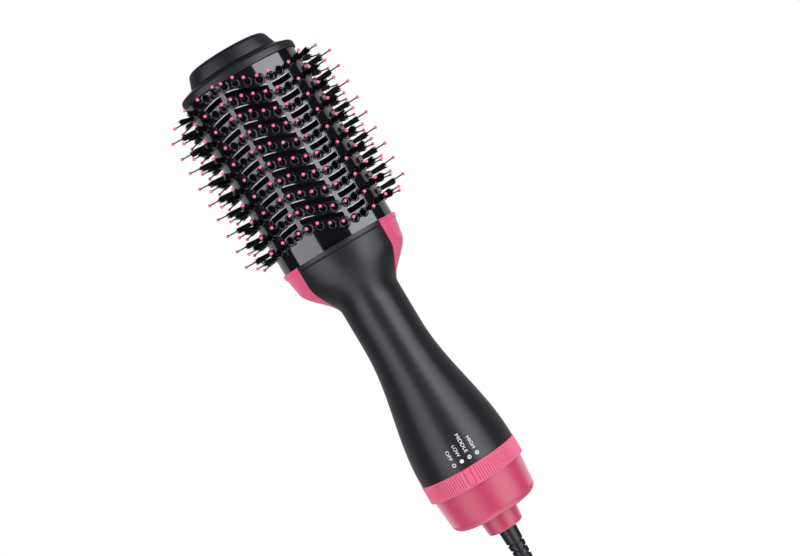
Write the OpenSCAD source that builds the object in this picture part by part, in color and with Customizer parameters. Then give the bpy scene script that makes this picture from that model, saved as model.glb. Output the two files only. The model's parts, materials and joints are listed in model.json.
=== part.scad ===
// Hot air brush: an oval vented brush head on a round, waisted handle.
// The brush axis is +Z with the tip up, and the front, where the settings are, faces -Y.
// The origin is the centre of the cord's cut end.

/* [Handle] */
// Radius of the handle at its waist
waist_r = 18.65; // [18.3:0.05:19]
// Radius of the handle at its base, next to the dial ring
base_r = 30.2; // [29.9:0.1:30.5]
// Wall thickness of the handle shells
shell_wall = 2; // [1.8:0.1:2.2]

/* [Neck] */
// Half width of the neck's rim, where the brush head starts
rim_half_w = 37; // [36.5:0.1:37.5]
// Half depth of the neck's rim
rim_half_d = 26; // [25.8:0.1:26.4]
// Half width of the black panel between the two side wings
panel_half_w = 26.7; // [26:0.1:27.5]

/* [Brush head] */
// Half width of the oval barrel
barrel_a = 36; // [35.8:0.1:36.2]
// Half depth of the oval barrel
barrel_b = 25; // [24.8:0.1:25.2]
// Wall thickness of the barrel
barrel_wall = 1.6; // [1.4:0.1:1.8]
// Number of rows of sockets along the barrel
row_count = 10; // [8:1:10]
// Distance from one row to the next
row_pitch = 10.4; // [10.2:0.05:10.4]
// Height of the wave that each row follows, from its middle
wave_rise = 4; // [3.8:0.1:4.3]
// Height of the vent slots between the rows
slot_h = 3.3; // [2.8:0.1:3.4]

/* [Pins and bristles] */
// Length of a pin from the barrel's surface to the centre of its ball tip
pin_len = 17; // [16:0.5:18]
// Radius of a pin's stem
pin_r = 0.42; // [0.4:0.02:0.5]
// Radius of a pin's ball tip
ball_r = 1; // [0.9:0.05:1.2]
// Length of a bristle tuft
tuft_len = 11; // [10:0.5:12]

/* [Dial] */
// Outside radius of the ribbed dial ring
dial_r = 30.5; // [30.5:0.1:31]
// Number of grip ribs round the dial ring
rib_count = 120; // [90:10:130]
// Height of the dial ring
dial_h = 11.3; // [11:0.1:11.4]

/* [Cord] */
// Radius of the mains cord
cord_r = 3.4; // [3.2:0.1:3.5]

/* [Hidden] */

$fn = 96;
eps = 0.01;
seam = 0.15;              // gap left between neighbouring covers
running = 0.05;           // radial clearance of everything that turns

// Heights along the brush axis
relief_z = 25;            // start of the strain relief
boot_z = 60;              // bottom of the cord boot
cup_z = 71.3;             // bottom of the end cup
dial_z = 93.5;            // top of the cup's outside, where the dial ring sits
base_z = 105;             // bottom of the handle
waist_z = 190;            // end of the handle's flare
rim_z = 250.3;            // rim of the neck and bottom of the barrel
flange_z = 361.9;         // top of the barrel and bottom of the tip ring
cap_z = 369.7;            // top of the tip ring
tip_z = 379.1;            // top of the tip cap

// Colours
black = [0.13, 0.13, 0.14];
gloss = [0.05, 0.05, 0.06];
pink = [0.86, 0.30, 0.45];
steel = [0.70, 0.70, 0.72];
copper = [0.75, 0.45, 0.25];
brass = [0.80, 0.65, 0.30];
mica = [0.78, 0.74, 0.62];
green = [0.15, 0.40, 0.25];
white = [0.90, 0.90, 0.88];

function clamp01(u) = min(1, max(0, u));
function smooth(u) = let (c = clamp01(u)) c * c * (3 - 2 * c);

// ---- Handle and neck: outline as functions of height ----

neck_z0 = 214.5;          // where the neck starts to widen
neck_z1 = 238;            // where the steep part of the neck ends
neck_lip = 2.35;          // widening from there to the rim
panel_z0 = 213;           // start and end of the side edge's curve
panel_z1 = 237;
deep_z0 = 208;            // start and end of the neck's growth in depth
deep_z1 = 246;

function flare_r(z) =
    let (s = sin(90 * clamp01((waist_z - z) / (waist_z - base_z))))
    waist_r + (base_r - waist_r) * s * s;
function half_w(z) =
    flare_r(z) + (rim_half_w - waist_r - neck_lip) * smooth((z - neck_z0) / (neck_z1 - neck_z0))
    + neck_lip * clamp01((z - neck_z1) / (rim_z - neck_z1));
function half_d(z) =
    flare_r(z) + (rim_half_d - waist_r) * smooth((z - deep_z0) / (deep_z1 - deep_z0));
function panel_x(z) =
    flare_r(z) + (panel_half_w - waist_r) * smooth((z - panel_z0) / (panel_z1 - panel_z0));
// angle from the front at which the panel's side edge meets the oval section
function edge_t(z) = asin(min(1, panel_x(z) / half_w(z)));
function oval(z, t, inset) = [(half_w(z) - inset) * sin(t), -(half_d(z) - inset) * cos(t), z];

// A closed shell between two grids of points, whose rows run up and whose columns run round
module grid_shell(outer, inner) {
    rows = len(outer);
    cols = len(outer[0]);
    n = rows * cols;
    points = concat([for (r = outer) each r], [for (r = inner) each r]);
    function at(r, c) = r * cols + c;
    sheet = [for (r = [0:rows - 2], c = [0:cols - 2])
        each [[at(r, c), at(r + 1, c), at(r, c + 1)], [at(r, c + 1), at(r + 1, c), at(r + 1, c + 1)]]];
    rim = concat(
        [for (c = [0:cols - 1]) at(0, c)],
        [for (r = [1:rows - 1]) at(r, cols - 1)],
        [for (c = [cols - 2:-1:0]) at(rows - 1, c)],
        [for (r = [rows - 2:-1:1]) at(r, 0)]
    );
    walls = [for (i = [0:len(rim) - 1]) let (p = rim[i], q = rim[(i + 1) % len(rim)])
        each [[p, q, p + n], [q, q + n, p + n]]];
    polyhedron(
        points,
        concat(sheet, [for (f = sheet) [f[0] + n, f[2] + n, f[1] + n]], walls),
        convexity = 6
    );
}

neck_steps = 24;
neck_levels = [for (i = [0:neck_steps]) neck_z0 + (rim_z - neck_z0) * i / neck_steps];
wing_start = 3;           // the side wings start at this level of the neck

module handle_shell() {
    levels = concat([for (i = [0:14]) base_z + (neck_z0 - base_z) * i / 15], neck_levels);
    steps = 24;
    function row(z, inset) =
        let (edge = edge_t(z) - seam / 2 / half_w(z) * 180 / PI)
        [for (j = [0:steps]) oval(z, -edge + 2 * edge * j / steps, inset)];
    grid_shell([for (z = levels) row(z, 0)], [for (z = levels) row(z, shell_wall)]);
}

module handle_front_shell() {
    color(black) handle_shell();
}

module handle_back_shell() {
    color(black) mirror([0, 1, 0]) handle_shell();
}

module neck_wing_right() {
    levels = [for (i = [wing_start:neck_steps]) neck_levels[i]];
    steps = 16;
    function row(z, inset) =
        let (edge = edge_t(z) + seam / half_w(z) * 180 / PI)
        [for (j = [0:steps]) oval(z, edge + (180 - 2 * edge) * j / steps, inset)];
    color(pink)
        grid_shell([for (z = levels) row(z, 0)], [for (z = levels) row(z, shell_wall)]);
}

module neck_wing_left() {
    mirror([1, 0, 0]) neck_wing_right();
}

// ---- Oval barrel ----

module oval_disc(a, b, z, h) {
    translate([0, 0, z]) linear_extrude(h) scale([a, b]) circle(1, $fn = 128);
}

module oval_tube(a, b, wall, z, h) {
    difference() {
        oval_disc(a, b, z, h);
        oval_disc(a - wall, b - wall, z - 1, h + 2);
    }
}

// Arc length round the oval from its front centre, as pairs [x, s] and [s, angle]
arc_steps = 90;
function arc_step(i) =
    let (t = (i + 0.5) * 90 / arc_steps)
    norm([barrel_a * cos(t), barrel_b * sin(t)]) * (PI / 2) / arc_steps;
arc_s = [for (i = 0, s = 0; i <= arc_steps; s = s + arc_step(i), i = i + 1) s];
quarter = arc_s[arc_steps];
x_to_s = [for (i = [0:arc_steps]) [barrel_a * sin(i * 90 / arc_steps), arc_s[i]]];
s_to_t = [for (i = [0:arc_steps]) [arc_s[i], i * 90 / arc_steps]];

// Height of the wave at a signed arc length s: a steep middle, then a slow return to the sides
wave_mid = 1.6;           // where the wave crosses its middle
wave_turn = 14.6;         // from there to its crest or its trough
function wave(s) =
    let (u = abs(s - wave_mid), far = (u - wave_turn) / (quarter - wave_turn))
    -sign(s - wave_mid) * wave_rise
    * (u < wave_turn ? sin(90 * u / wave_turn) : (1 + cos(180 * min(1, far))) / 2);
function signed_s(x) = sign(x) * lookup(abs(x), x_to_s);

row_z0 = 261.8;           // middle of the lowest row
function row_z(i) = row_z0 + i * row_pitch;

slot_edge_in = 11.9;      // half width of the middle slot
slot_edge_out = 14.6;     // start and end of the side slots
slot_edge_far = 25.8;

module slot(x0, x1, z) {
    n = ceil((x1 - x0) / 2);
    xs = [for (i = [0:n]) x0 + (x1 - x0) * i / n];
    top = [for (x = xs) [x, z + wave(signed_s(x)) + slot_h / 2]];
    bottom = [for (i = [n:-1:0]) [xs[i], z + wave(signed_s(xs[i])) - slot_h / 2]];
    translate([0, barrel_b + 2, 0]) rotate([90, 0, 0])
        linear_extrude(2 * barrel_b + 4) polygon(concat(top, bottom));
}

module barrel_shell() {
    color(gloss) difference() {
        oval_tube(barrel_a, barrel_b, barrel_wall, rim_z, flange_z - rim_z);
        for (i = [0:row_count - 2]) {
            z = row_z(i) + row_pitch / 2;
            slot(-slot_edge_far, -slot_edge_out, z);
            slot(-slot_edge_in, slot_edge_in, z);
            slot(slot_edge_out, slot_edge_far, z);
        }
    }
}

collar_gap = 0.1;         // between the collar and the barrel
collar_step = 1.2;        // the collar's lower part is this much smaller

module barrel_collar() {
    a = barrel_a - barrel_wall - collar_gap;
    b = barrel_b - barrel_wall - collar_gap;
    color(black) difference() {
        union() {
            oval_disc(a, b, rim_z, 8);
            oval_disc(a - collar_step, b - collar_step, rim_z - 6, 6 + eps);
        }
        oval_disc(a - collar_step - 1.5, b - collar_step - 1.5, rim_z - 7, 16);
    }
}

screw_x = 17;             // screws that hold the tip ring to the spine
screw_r = 1.2;
screw_head_r = 2.2;
skirt_h = 6;              // the tip ring reaches this far into the barrel

// A plate across the middle of the barrel, which parts the air between the front and the back vents
module barrel_spine() {
    z0 = rim_z + 8.1;
    z1 = flange_z - skirt_h - 0.2;
    wide = barrel_a - barrel_wall - 0.8;
    color(black) difference() {
        union() {
            translate([-wide, -0.7, z0]) cube([2 * wide, 1.4, z1 - z0]);
            translate([-screw_x - 6, -0.7, z0]) cube([2 * screw_x + 12, 1.4, flange_z - z0]);
            for (side = [-1, 1])
                translate([side * screw_x, 0, flange_z - 12]) cylinder(r = 2.8, h = 12);
        }
        for (side = [-1, 1])
            translate([side * screw_x, 0, flange_z - 10]) cylinder(r = screw_r + 0.05, h = 12);
    }
}

// A turned profile, pressed to the barrel's oval
module oval_turn() {
    scale([1, barrel_b / barrel_a, 1]) rotate_extrude() children();
}

function arc(r, z, radius, from, to, n) =
    [for (i = [0:n]) let (t = from + (to - from) * i / n) [r + radius * cos(t), z + radius * sin(t)]];

ring_a = 37.2;            // half width of the tip ring
cap_a = 28.3;             // half width of the tip cap at its base
cap_top_a = 24.9;         // and at its top
recess_a = 24.3;          // recess in the tip ring for the cap's plug
recess_z = 365.7;

module tip_ring() {
    skirt_a = barrel_a - barrel_wall - collar_gap;
    skirt_b = barrel_b - barrel_wall - collar_gap;
    floor_z = flange_z + 0.1;
    upright = 4.6;        // height of the ring's upright outside
    color(black) difference() {
        union() {
            oval_turn() polygon(concat(
                [[0, floor_z]],
                arc(ring_a - 0.6, floor_z + 0.6, 0.6, -90, 0, 3),
                arc(ring_a - 1.8, floor_z + upright - 1.8, 1.8, 0, 65, 5),
                [[cap_a + 0.4, cap_z], [recess_a, cap_z], [recess_a, recess_z], [0, recess_z]]));
            oval_tube(skirt_a, skirt_b, 1.6, flange_z - skirt_h, skirt_h + 0.6);
        }
        for (side = [-1, 1])
            translate([side * screw_x, 0, flange_z - 1]) cylinder(r = screw_r + 0.1, h = 8);
    }
}

module tip_cap() {
    edge = 2.6;           // rounding of the top edge
    plug_z = cap_z - 3.8;
    round_a = cap_top_a - edge + 0.6;
    color(black) difference() {
        oval_turn() polygon(concat(
            [[recess_a - 0.2, plug_z], [recess_a - 0.2, cap_z + 0.05], [cap_a, cap_z + 0.05]],
            arc(round_a, tip_z - edge, edge, 15, 90, 6),
            [[round_a, tip_z + 1], [0, tip_z + 1], [0, tip_z - 2], [recess_a - 2.4, tip_z - 2],
             [recess_a - 2.4, plug_z]]));
        translate([-cap_a, -cap_a, tip_z]) cube([2 * cap_a, 2 * cap_a, 2]);
    }
}

module tip_screws() {
    head_z = recess_z + 0.02;
    color(steel) for (side = [-1, 1]) translate([side * screw_x, 0, 0]) difference() {
        union() {
            translate([0, 0, head_z - 9]) cylinder(r = screw_r, h = 9 + eps);
            translate([0, 0, head_z]) cylinder(r = screw_head_r, h = 1.6);
        }
        translate([-0.4, -3, head_z + 0.9]) cube([0.8, 6, 2]);
    }
}

// ---- Sockets, pins and bristles ----
// Each row has places at equal steps of arc length, mirrored front to back.
// Places 0 to 6 count out from the centre, and place 7 is the column down each side.

places = 8;
step_s = quarter / (places - 0.5);
fan_power = 5.4;          // pins stay nearly parallel to Y and fan out close to the sides
socket_h = 1.5;           // height of a socket above the barrel
socket_sink = 0.5;
socket_r = 2.1;
big_socket_r = 2.8;
socket_bore_r = 1.5;
side_rise = 4.15;         // height of the side column above its row

function has_pin(k) = k != 3;
function has_tuft(k) = k >= 3;

// Puts its children at place k of row i, with +Z along the pin
module at_place(i, k, side, face) {
    s = (k + 0.5) * step_s;
    t = lookup(s, s_to_t);
    fan = 90 * pow(s / quarter, fan_power);
    rise = k == places - 1 ? side_rise : wave(side * s);
    translate([side * barrel_a * sin(t), face * barrel_b * cos(t), row_z(i) + rise])
        rotate([0, 90, k == places - 1 ? 90 - side * 90 : face * (90 - side * fan)])
            children();
}

// Every place whose number is in the list ks; the side column has one place to a row and none in the top row
module each_place(ks) {
    for (i = [0:row_count - 1], k = ks, side = [-1, 1], face = [-1, 1])
        if (k < places - 1 || (face < 0 && i < row_count - 1))
            at_place(i, k, side, face) children();
}

module socket(r) {
    translate([0, 0, -socket_sink]) difference() {
        cylinder(r = r, h = socket_h + socket_sink, $fn = 32);
        translate([0, 0, socket_sink]) cylinder(r = socket_bore_r, h = socket_h + 1, $fn = 32);
    }
}

module pin_sockets() {
    color(black) {
        each_place([1]) socket(big_socket_r);
        each_place([0, 2, 3, 4, 5, 6, 7]) socket(socket_r);
    }
}

module bristle_pins() {
    color(gloss) each_place([for (k = [0:places - 1]) if (has_pin(k)) k])
        translate([0, 0, -socket_sink]) cylinder(r = pin_r, h = pin_len + socket_sink, $fn = 16);
}

module pin_tips() {
    color(pink) each_place([for (k = [0:places - 1]) if (has_pin(k)) k])
        translate([0, 0, pin_len]) sphere(r = ball_r, $fn = 24);
}

module bristle_tufts() {
    color(gloss) each_place([for (k = [0:places - 1]) if (has_tuft(k)) k])
        translate([0, 0, 0.1]) difference() {
            cylinder(r1 = 1.3, r2 = 2.6, h = tuft_len, $fn = 24);
            translate([0, 0, -1]) cylinder(r = pin_r + 0.15, h = tuft_len + 2, $fn = 16);
        }
}

// ---- End cup, dial ring and switch ----

cup_r = 28.7;             // outside of the cup at its top
cup_low_r = 27.2;         // and just above its rounded bottom
cup_corner = 5.5;
cup_wall = 2;
spigot_r = 27.6;          // tube that the dial ring turns on
spigot_z = 112;
hub_r = 14;               // tube in the cup's floor that the cord boot turns in
hub_z = 80;
boot_spigot_r = 9;
slot_count = 28;
lug_half_w = 1.5;         // inward lug of the dial ring
lug_in = 20.6;
lug_z = 98;
lug_h = 3;
dial_off = -9.5;          // dial angle at the first setting
dial_high = 19;           // dial angle at the last setting

module end_cup() {
    corner = [for (i = [0:8]) let (t = -90 + i * 90 / 8)
        [cup_low_r - cup_corner + cup_corner * cos(t), cup_z + cup_corner + cup_corner * sin(t)]];
    color(pink) difference() {
        rotate_extrude() polygon(concat(
            [[boot_spigot_r + running, cup_z]], corner,
            [[cup_r, dial_z], [spigot_r, dial_z], [spigot_r, spigot_z], [spigot_r - cup_wall, spigot_z],
             [spigot_r - cup_wall, dial_z - 2], [cup_low_r - cup_wall, cup_z + cup_corner],
             [cup_low_r - cup_corner, cup_z + 2.2], [hub_r, cup_z + 2.2], [hub_r, hub_z],
             [boot_spigot_r + running, hub_z]]));
        for (i = [0:slot_count - 1]) rotate([0, 0, (i + 0.5) * 360 / slot_count])
            translate([15.5, -0.8, cup_z - 1]) cube([6.5, 1.6, 4]);
        // window for the dial ring's lug
        rotate([0, 0, 90 + dial_off - 5]) translate([0, 0, lug_z - 0.5])
            rotate_extrude(angle = dial_high - dial_off + 10) translate([24, 0]) square([6, lug_h + 1]);
    }
}

module inlet_filter() {
    color(steel) translate([0, 0, cup_z + 3.2]) difference() {
        cylinder(r = 21.6, h = 0.8);
        translate([0, 0, -1]) cylinder(r = hub_r + 0.2, h = 3);
        for (ring = [0:1], i = [0:29]) rotate([0, 0, (i + ring / 2) * 12])
            translate([16.4 + ring * 2.9, 0, -1]) cylinder(r = 1.05, h = 3, $fn = 16);
    }
}

rib_depth = 0.45;
mark_w = 3.7;             // raised bar that points at the setting
mark_angle = -5.3;        // where it stands, from the front centre
plain_angle = 8;          // half width of the plain area round it

module dial_ring() {
    z0 = dial_z + (base_z - dial_z - dial_h) / 2;
    color(pink) difference() {
        union() {
            difference() {
                translate([0, 0, z0]) cylinder(r = dial_r, h = dial_h);
                translate([0, 0, z0 - 1]) cylinder(r = spigot_r + running, h = dial_h + 2);
            }
            translate([-lug_half_w, lug_in, lug_z]) cube([2 * lug_half_w, dial_r - 1.5 - lug_in, lug_h]);
        }
        for (i = [0:rib_count - 1]) let (turn = (i + 0.5) * 360 / rib_count)
            if (abs(turn - 180) < 180 - plain_angle)
                rotate([0, 0, turn - 90 + mark_angle]) translate([dial_r - rib_depth, -0.4, z0 + 0.8])
                    cube([2, 0.8, dial_h - 1.6]);
        rotate([0, 0, mark_angle]) for (side = [-1, 1])
            translate([side * mark_w / 2 - 0.3, -dial_r - 1, z0 + 1.2]) cube([0.6, 1.5, dial_h - 2.4]);
    }
}

switch_w = 28;
switch_y0 = 8;
switch_y1 = 17;
switch_z0 = 94;
switch_h = 11;
stem_half_w = 1.4;

module switch_body() {
    travel0 = 8.6;        // lever's room towards -X and towards +X
    travel1 = 5.2;
    color(green) difference() {
        union() {
            translate([-switch_w / 2, switch_y0, switch_z0]) cube([switch_w, switch_y1 - switch_y0, switch_h]);
            for (side = [-1, 1])
                translate([side * 13 - 1.1, switch_y1 - 1, switch_z0 + 3]) cube([2.2, 5.2, 4]);
        }
        translate([-travel0, switch_y0 + 4, lug_z + 0.2]) cube([travel0 + travel1, 8, lug_h - 0.4]);
    }
}

module switch_lever() {
    fork_room = 0.8;      // on each side of the lug, which swings while the lever slides
    color(white) {
        translate([-stem_half_w, switch_y0 + 5, lug_z + 0.5])
            cube([2 * stem_half_w, 5, lug_h - 1]);
        difference() {
            translate([-4, switch_y1 + 0.4, lug_z - 0.4]) cube([8, 5.2, lug_h + 0.8]);
            translate([-lug_half_w - fork_room, switch_y1 + 1.8, lug_z - 1])
                cube([2 * (lug_half_w + fork_room), 8, 6]);
        }
    }
}

// ---- Cord and its swivel ----

boot_top_r = 12;
boot_low_r = 11;
relief_r = 5.65;
core_r = cord_r - 0.4;    // cord inside the strain relief, where its jacket is thinned

module cord_boot() {
    corner = [for (i = [0:5]) let (t = -90 + i * 18) [boot_low_r - 1.5 + 1.5 * cos(t), boot_z + 1.5 + 1.5 * sin(t)]];
    color(pink) rotate_extrude() polygon(concat(
        [[relief_r + 0.05, boot_z]], corner,
        [[boot_top_r, cup_z - 0.15], [boot_spigot_r, cup_z - 0.15], [boot_spigot_r, hub_z + 0.1],
         [8.2, hub_z + 0.1], [8.2, hub_z + 1.7], [boot_spigot_r, hub_z + 1.7], [boot_spigot_r, hub_z + 3],
         [4, hub_z + 3], [4, hub_z + 11], [0, hub_z + 11], [0, cup_z], [core_r + 0.05, cup_z],
         [core_r + 0.05, cup_z - 4], [relief_r + 0.05, cup_z - 4]]));
}

module strain_relief() {
    grooves = 6;
    top = boot_z + 7;
    solid = boot_z - 8.7; // smooth part ends here
    function relief_at(z) = relief_r - 1.6 * clamp01((boot_z - z) / (boot_z - relief_z));
    pitch = (solid - relief_z) / grooves;
    outline = concat([[relief_at(relief_z), relief_z + seam]],
        [for (i = [1:grooves]) let (z = relief_z + i * pitch, r = relief_at(z))
            each [[r, z - 2], [r - 1, z - 2], [r - 1, z - 0.8], [r, z - 0.8]]],
        [[relief_r, boot_z], [relief_r, top]]);
    color(black) rotate_extrude()
        polygon(concat([[core_r + 0.04, relief_z + seam]], outline, [[core_r + 0.04, top]]));
}

module power_cord() {
    color(black) {
        cylinder(r = cord_r, h = relief_z);
        cylinder(r = core_r, h = cup_z - 1);
    }
}

module swivel_clip() {
    color(steel) translate([0, 0, hub_z + 0.15]) difference() {
        cylinder(r = 11, h = 1.5);
        translate([0, 0, -1]) cylinder(r = 8.25, h = 4);
    }
}

contact_z = [85, 88.2];

module contact_rings() {
    color(brass) for (z = contact_z) translate([0, 0, z]) difference() {
        cylinder(r = 5.2, h = 1.6);
        translate([0, 0, -1]) cylinder(r = 4.02, h = 4);
    }
}

module contact_brushes() {
    color(brass) difference() {
        translate([5.3, -1.5, hub_z]) cube([8.4, 3, 11]);
        translate([5, -2, hub_z - 1]) cube([6.3, 4, contact_z[0] - hub_z + 1.2]);
        translate([5, -2, contact_z[0] + 1.4]) cube([6.3, 4, contact_z[1] - contact_z[0] - 1.2]);
        translate([5, -2, contact_z[1] + 1.4]) cube([6.3, 4, 4]);
    }
}

// ---- Motor and fan ----

duct_r = 22;              // outside of the fan's duct
duct_wall = 1.1;
cradle_z = 116;
cradle_h = 30;
can_r = 12.2;
can_z = 137;
can_h = 28;
vane_count = 7;
shaft_r = 1.15;
bush_r = 3;

module motor_cradle() {
    cup_h = 9;
    cup_wall = 1.4;
    vane_in = can_r + cup_wall / 2;
    vane_out = duct_r - duct_wall / 2;
    color(white) {
        difference() {
            union() {
                translate([0, 0, cradle_z]) cylinder(r = duct_r, h = cradle_h);
                translate([0, 0, cradle_z]) cylinder(r = 26.8, h = 1.6);
            }
            translate([0, 0, cradle_z - 1]) cylinder(r = duct_r - duct_wall, h = cradle_h + 2);
        }
        translate([0, 0, can_z]) difference() {
            cylinder(r = can_r + cup_wall, h = cup_h);
            translate([0, 0, -1]) cylinder(r = can_r + 0.02, h = cup_h + 2);
        }
        for (i = [0:vane_count - 1]) rotate([0, 0, (i + 0.5) * 360 / vane_count])
            translate([vane_in, -0.6, can_z + 0.5]) cube([vane_out - vane_in, 1.2, cup_h - 1]);
    }
}

module motor_can() {
    color(steel) difference() {
        translate([0, 0, can_z]) cylinder(r = can_r, h = can_h);
        translate([0, 0, can_z + 1]) cylinder(r = can_r - 0.9, h = can_h);
        translate([0, 0, can_z - 1]) cylinder(r = bush_r + 0.01, h = 4);
    }
}

module motor_end_cap() {
    color(white) difference() {
        translate([0, 0, can_z + can_h - 3]) cylinder(r = can_r - 0.92, h = 3);
        translate([0, 0, can_z + can_h - 4]) cylinder(r = bush_r + 0.01, h = 6);
    }
}

module motor_magnets() {
    color([0.25, 0.25, 0.27]) for (a = [20, 200]) rotate([0, 0, a])
        translate([0, 0, can_z + 5]) rotate_extrude(angle = 140) translate([9.2, 0]) square([2, 16]);
}

module motor_bushes() {
    color(brass) for (z = [can_z - 0.5, can_z + can_h - 3]) translate([0, 0, z]) difference() {
        cylinder(r = bush_r, h = 3);
        translate([0, 0, -1]) cylinder(r = shaft_r + running, h = 5);
    }
}

module motor_shaft() {
    color(steel) translate([0, 0, 121]) cylinder(r = shaft_r, h = can_z + can_h + 1 - 121);
}

module rotor_core() {
    color(copper) translate([0, 0, can_z + 5]) difference() {
        cylinder(r = 8.7, h = 16);
        translate([0, 0, -1]) cylinder(r = shaft_r + 0.01, h = 20);
        for (i = [0:4]) rotate([0, 0, i * 72]) translate([5, -0.8, -1]) cube([6, 1.6, 18]);
    }
}

blade_count = 9;
fan_z = 121.5;
fan_h = 11;
fan_r = 20.4;
hub_fan_r = 7;

module fan_impeller() {
    color(gloss) difference() {
        union() {
            translate([0, 0, fan_z]) cylinder(r = hub_fan_r, h = fan_h);
            intersection() {
                translate([0, 0, fan_z]) cylinder(r = fan_r, h = fan_h);
                for (i = [0:blade_count - 1]) rotate([0, 0, i * 360 / blade_count])
                    translate([0, 0, fan_z + fan_h / 2]) rotate([42, 0, 0])
                        translate([5, -0.5, -9]) cube([20, 1, 18]);
            }
        }
        translate([0, 0, fan_z - 1]) cylinder(r = shaft_r + 0.01, h = fan_h + 2);
    }
}

module rectifier_board() {
    color(green) translate([0, 0, can_z + can_h + 3]) difference() {
        cylinder(r = 10, h = 1.4);
        for (a = [30, 150, 270]) rotate([0, 0, a])
            translate([7.6, 0, -1]) cylinder(r = 0.95, h = 4, $fn = 24);
    }
}

module rectifier_diodes() {
    color(gloss) for (x = [-3.6, -1.2, 1.2, 3.6])
        translate([x, -2.5, can_z + can_h + 5.6]) rotate([-90, 0, 0]) cylinder(r = 0.9, h = 5, $fn = 24);
}

module heater_leads() {
    z0 = can_z + can_h + 2;
    color(white) for (a = [30, 150, 270]) rotate([0, 0, a])
        translate([7.6, 0, z0]) cylinder(r = 0.9, h = heater_z - 1 - z0, $fn = 24);
}

// ---- Heater ----

heater_z = 188;
heater_h = 48;
frame_r = 13.2;
coil_turns = 11;
coil_r = 13.85;
wire_r = 0.4;

module heater_frame() {
    color(mica) translate([0, 0, heater_z]) {
        translate([-frame_r, -0.4, 0]) cube([2 * frame_r, 0.8, heater_h]);
        translate([-0.4, -frame_r, 0]) cube([0.8, 2 * frame_r, heater_h]);
    }
}

// One wire wound as a helix, as rings of points swept along it
module heater_coil() {
    per_turn = 18;
    sides = 6;
    n = coil_turns * per_turn;
    rise = (heater_h - 6) / n;
    points = [for (i = [0:n], j = [0:sides - 1])
        let (a = i * 360 / per_turn, b = j * 360 / sides, r = coil_r + wire_r * cos(b))
        [r * cos(a), r * sin(a), heater_z + 3 + i * rise + wire_r * sin(b)]];
    skin = [for (i = [0:n - 1], j = [0:sides - 1])
        let (k = (j + 1) % sides, p = i * sides, q = p + sides)
        each [[p + j, p + k, q + j], [p + k, q + k, q + j]]];
    ends = [[for (j = [sides - 1:-1:0]) j], [for (j = [0:sides - 1]) n * sides + j]];
    color(copper) polyhedron(points, concat(skin, ends), convexity = 10);
}

module heater_sleeve() {
    color(mica) translate([0, 0, heater_z]) difference() {
        cylinder(r = 15.6, h = heater_h);
        translate([0, 0, -1]) cylinder(r = 15, h = heater_h + 2);
    }
}

module thermostat() {
    color(steel) translate([6, 6, heater_z + heater_h - 12]) cylinder(r = 3.4, h = 5);
}

module thermal_fuse() {
    color(steel) translate([-5.5, 5.5, heater_z + heater_h - 16]) cylinder(r = 1.5, h = 10);
}

handle_front_shell();
handle_back_shell();
neck_wing_left();
neck_wing_right();
barrel_shell();
barrel_collar();
barrel_spine();
tip_ring();
tip_cap();
tip_screws();
pin_sockets();
bristle_pins();
pin_tips();
bristle_tufts();
end_cup();
inlet_filter();
dial_ring();
switch_body();
switch_lever();
cord_boot();
strain_relief();
power_cord();
swivel_clip();
contact_rings();
contact_brushes();
motor_cradle();
motor_can();
motor_end_cap();
motor_magnets();
motor_bushes();
motor_shaft();
rotor_core();
fan_impeller();
rectifier_board();
rectifier_diodes();
heater_leads();
heater_frame();
heater_coil();
heater_sleeve();
thermostat();
thermal_fuse();
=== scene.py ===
"""Looks for the hot air brush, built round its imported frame. All shapes below are in millimetres."""

import json
import math
import random

import bmesh
import bpy
import numpy as np
from mathutils import Matrix, Vector


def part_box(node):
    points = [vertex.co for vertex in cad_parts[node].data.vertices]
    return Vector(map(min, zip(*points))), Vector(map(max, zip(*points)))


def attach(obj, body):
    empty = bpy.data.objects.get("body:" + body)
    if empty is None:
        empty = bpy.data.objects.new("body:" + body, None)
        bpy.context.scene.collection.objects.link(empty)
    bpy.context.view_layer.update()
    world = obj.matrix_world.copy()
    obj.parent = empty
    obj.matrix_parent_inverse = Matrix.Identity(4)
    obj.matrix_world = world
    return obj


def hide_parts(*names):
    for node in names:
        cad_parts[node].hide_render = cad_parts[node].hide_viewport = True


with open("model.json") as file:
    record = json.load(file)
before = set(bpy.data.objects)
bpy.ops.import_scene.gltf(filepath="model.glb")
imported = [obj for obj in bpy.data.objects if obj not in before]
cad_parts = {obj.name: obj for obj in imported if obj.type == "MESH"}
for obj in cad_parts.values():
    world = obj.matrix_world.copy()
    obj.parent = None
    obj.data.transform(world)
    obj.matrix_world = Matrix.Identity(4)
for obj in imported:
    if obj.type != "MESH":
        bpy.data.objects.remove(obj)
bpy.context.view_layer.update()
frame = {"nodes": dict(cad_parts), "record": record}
NODES = frame["nodes"]
MM = 0.001
PI = math.pi


def box_mm(node):
    low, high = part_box(node)
    return np.array(low) / MM, np.array(high) / MM


# -------------------- sizes read from the frame

BASE_Z = box_mm("handle_front_shell")[0][2]
RIM_Z = box_mm("handle_front_shell")[1][2]
RIM_HALF_W = box_mm("neck_wing_right")[1][0]
RIM_HALF_D = -box_mm("handle_front_shell")[0][1]
BARREL_A = box_mm("barrel_shell")[1][0]
BARREL_B = box_mm("barrel_shell")[1][1]
FLANGE_Z = box_mm("barrel_shell")[1][2]
RING_A = box_mm("tip_ring")[1][0]
CAP_Z = box_mm("tip_ring")[1][2]
CAP_A = box_mm("tip_cap")[1][0]
TIP_Z = box_mm("tip_cap")[1][2]
DIAL_R = -box_mm("dial_ring")[0][1]
DIAL_Z0 = box_mm("dial_ring")[0][2]
DIAL_Z1 = box_mm("dial_ring")[1][2]
BOOT_Z = box_mm("cord_boot")[0][2]
CUP_Z = box_mm("end_cup")[0][2]
RELIEF_Z = box_mm("strain_relief")[0][2]
CORD_R = box_mm("power_cord")[1][0]
RELIEF_R = box_mm("strain_relief")[1][0]
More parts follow.
